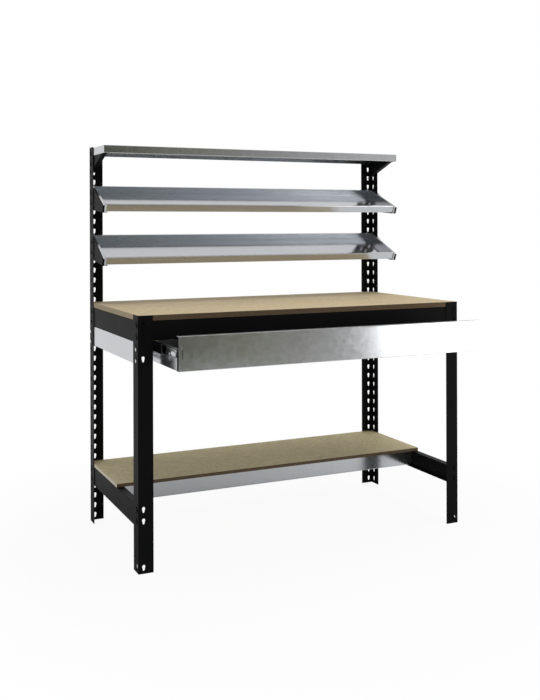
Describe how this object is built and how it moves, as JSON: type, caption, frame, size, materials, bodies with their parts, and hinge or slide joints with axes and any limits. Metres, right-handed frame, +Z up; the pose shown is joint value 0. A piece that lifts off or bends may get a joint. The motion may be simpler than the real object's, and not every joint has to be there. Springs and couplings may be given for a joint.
{
  "type": "workbench",
  "caption": "Boltless steel workbench with chipboard top, wide drawer on telescopic slides, lower shelf and tilted trays between tall rear uprights.",
  "frame": {"origin": "on the floor, in the middle of the bench's box with the drawer as it stands at rest", "axes": "+X along the bench to the right, +Y to the rear uprights, +Z up; the drawer opens along -Y"},
  "size_m": [1.2846, 0.825, 1.445],
  "materials": {
    "black_paint": "black powder coat, semi-gloss",
    "galvanised_sheet": "galvanised sheet with a soft spangle",
    "slide_steel": "zinc-plated, smooth",
    "chipboard": "raw sanded chipboard"
  },
  "bodies": {
    "frame": {"upright_rear_left": "black_paint", "upright_rear_right": "black_paint", "leg_front_left": "black_paint", "leg_front_right": "black_paint", "bench_beam_side_left": "black_paint", "bench_beam_side_right": "black_paint", "lower_beam_side_left": "black_paint", "lower_beam_side_right": "black_paint", "top_tray_gusset_left": "black_paint", "top_tray_gusset_right": "black_paint", "middle_tray_bracket_left": "black_paint", "middle_tray_bracket_right": "black_paint", "lower_tray_bracket_left": "black_paint", "lower_tray_bracket_right": "black_paint", "bench_beam_front": "black_paint", "bench_beam_rear": "black_paint", "drawer_carrier_left": "galvanised_sheet", "drawer_carrier_right": "galvanised_sheet", "lower_beam_rear": "galvanised_sheet", "lower_beam_front": "galvanised_sheet", "top_tray": "galvanised_sheet", "middle_tray": "galvanised_sheet", "lower_tray": "galvanised_sheet", "slide_outer_left": "slide_steel", "slide_outer_right": "slide_steel", "worktop_board": "chipboard", "lower_shelf_board": "chipboard"},
    "drawer": {"drawer_front": "galvanised_sheet", "drawer_tray": "galvanised_sheet", "slide_inner_left": "slide_steel", "slide_inner_right": "slide_steel"},
    "slide_middle_left": {"slide_middle_left": "slide_steel"},
    "slide_middle_right": {"slide_middle_right": "slide_steel"},
    "slide_cage_outer_left": {"slide_cage_outer_left": "slide_steel"},
    "slide_cage_outer_right": {"slide_cage_outer_right": "slide_steel"},
    "slide_cage_inner_left": {"slide_cage_inner_left": "slide_steel"},
    "slide_cage_inner_right": {"slide_cage_inner_right": "slide_steel"}
  },
  "joints": [
    {"name": "drawer_slide", "type": "slide", "parent": "frame", "child": "drawer", "axis": [0, -1, 0], "range_m": [-0.194, 0.306]},
    {"name": "slide_middle_left_run", "type": "slide", "parent": "frame", "child": "slide_middle_left", "axis": [0, -1, 0], "range_m": [-0.097, 0.153]},
    {"name": "slide_middle_right_run", "type": "slide", "parent": "frame", "child": "slide_middle_right", "axis": [0, -1, 0], "range_m": [-0.097, 0.153]},
    {"name": "slide_cage_outer_left_run", "type": "slide", "parent": "frame", "child": "slide_cage_outer_left", "axis": [0, -1, 0], "range_m": [-0.0485, 0.0765]},
    {"name": "slide_cage_outer_right_run", "type": "slide", "parent": "frame", "child": "slide_cage_outer_right", "axis": [0, -1, 0], "range_m": [-0.0485, 0.0765]},
    {"name": "slide_cage_inner_left_run", "type": "slide", "parent": "frame", "child": "slide_cage_inner_left", "axis": [0, -1, 0], "range_m": [-0.1455, 0.2295]},
    {"name": "slide_cage_inner_right_run", "type": "slide", "parent": "frame", "child": "slide_cage_inner_right", "axis": [0, -1, 0], "range_m": [-0.1455, 0.2295]}
  ],
  "couplings": [
    {"joint": "slide_middle_left_run", "follows": "drawer_slide", "ratio": 0.5},
    {"joint": "slide_middle_right_run", "follows": "drawer_slide", "ratio": 0.5},
    {"joint": "slide_cage_outer_left_run", "follows": "drawer_slide", "ratio": 0.25},
    {"joint": "slide_cage_outer_right_run", "follows": "drawer_slide", "ratio": 0.25},
    {"joint": "slide_cage_inner_left_run", "follows": "drawer_slide", "ratio": 0.75},
    {"joint": "slide_cage_inner_right_run", "follows": "drawer_slide", "ratio": 0.75}
  ]
}
